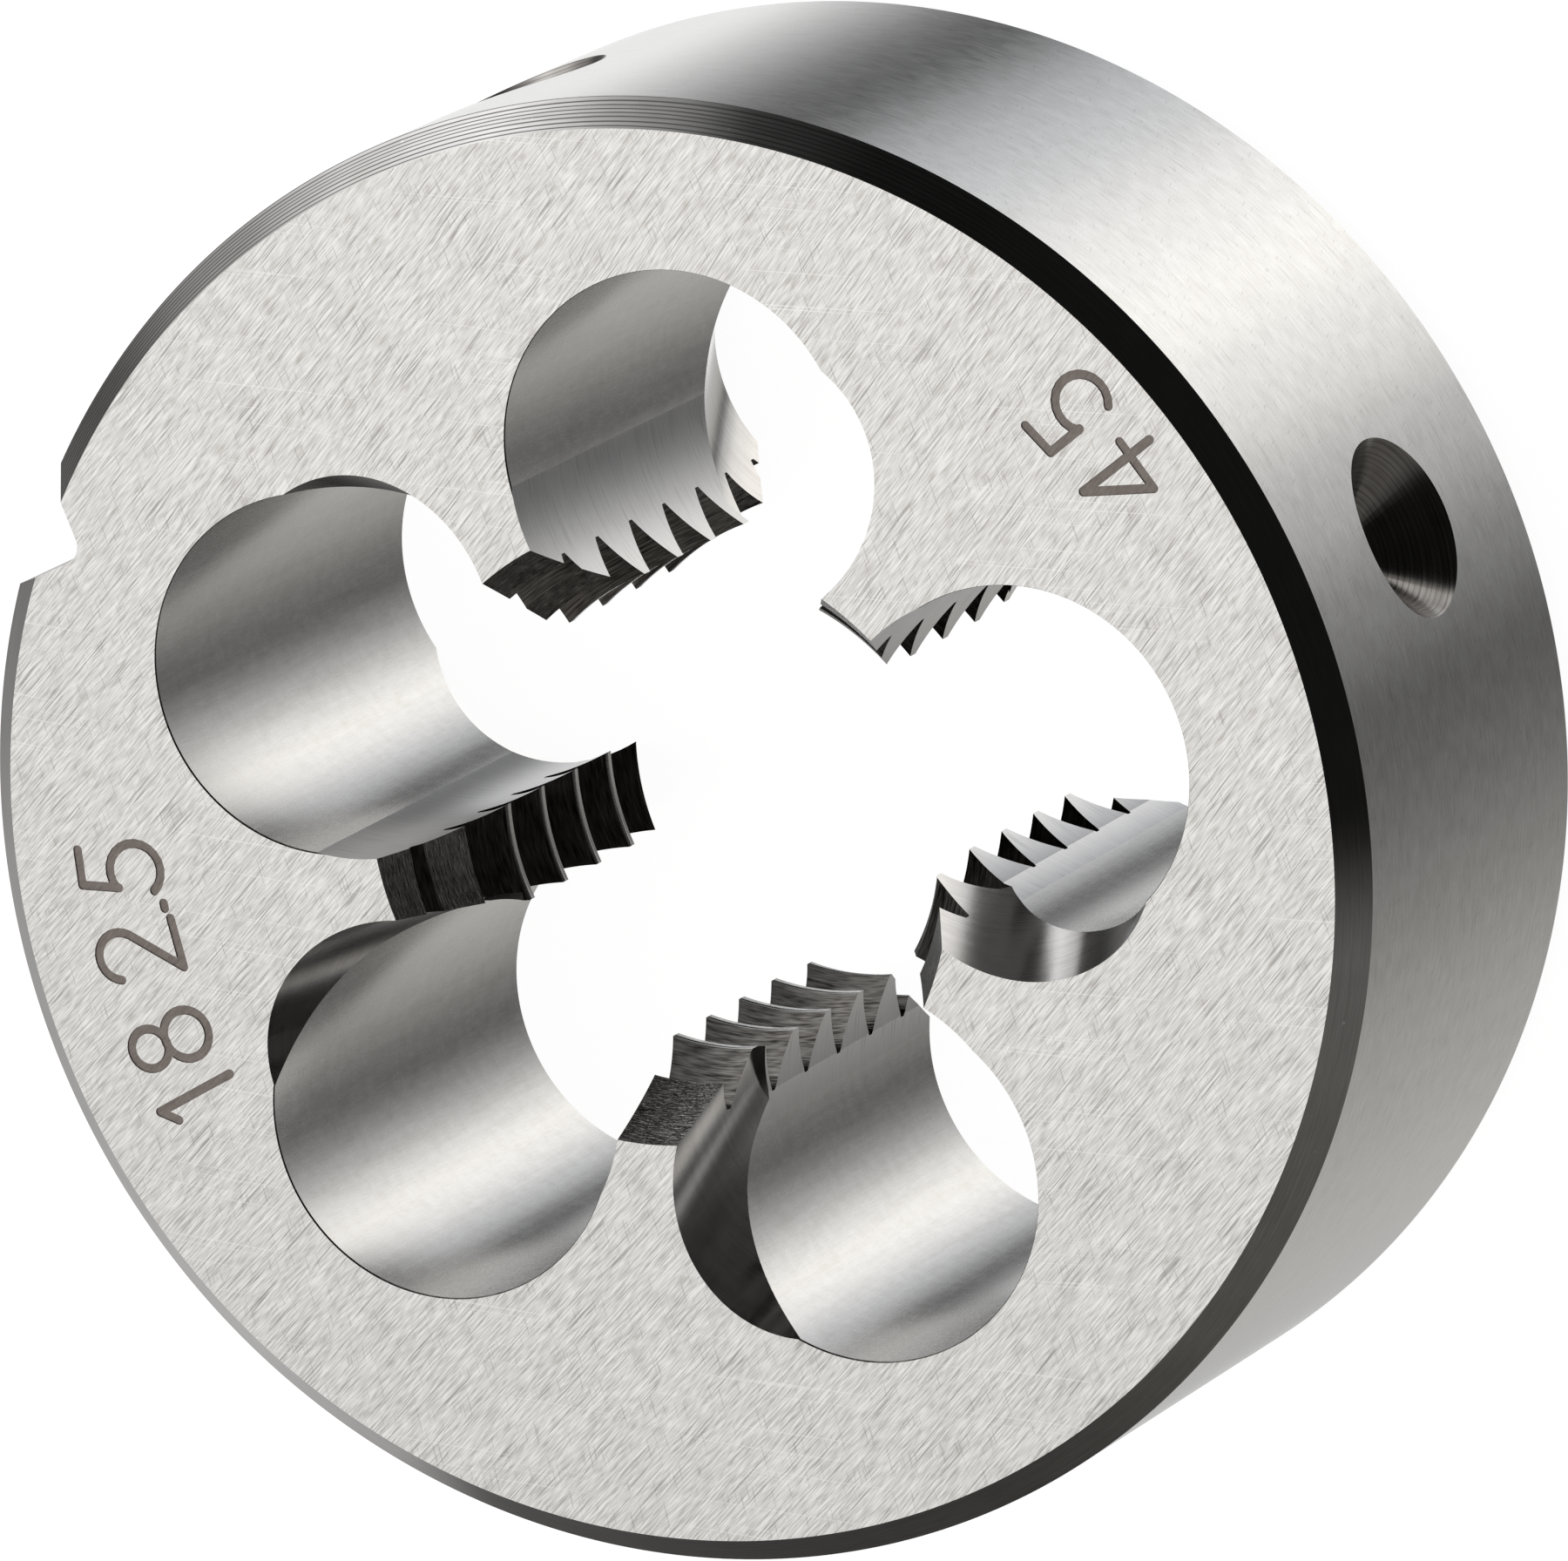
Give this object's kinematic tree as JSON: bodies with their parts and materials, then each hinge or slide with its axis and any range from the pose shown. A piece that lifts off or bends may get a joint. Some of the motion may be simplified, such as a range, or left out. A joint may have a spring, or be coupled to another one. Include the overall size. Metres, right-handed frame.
{
  "type": "round threading die",
  "caption": "Round threading die of bare tool steel: relieved right-hand thread teeth between round chip holes, a V notch and conical screw seats in the rim.",
  "frame": {"origin": "middle of the rear face, on the thread's axis", "axes": "+Z along the thread's axis towards the marked face; +X from the axis through the notch in the rim and one chip hole"},
  "size_m": [0.0449, 0.045, 0.018],
  "materials": {
    "tool_steel": "bare, fine ground faces and rim, turned chamfers"
  },
  "bodies": {
    "root": {"die_body": "tool_steel"}
  },
  "joints": []
}
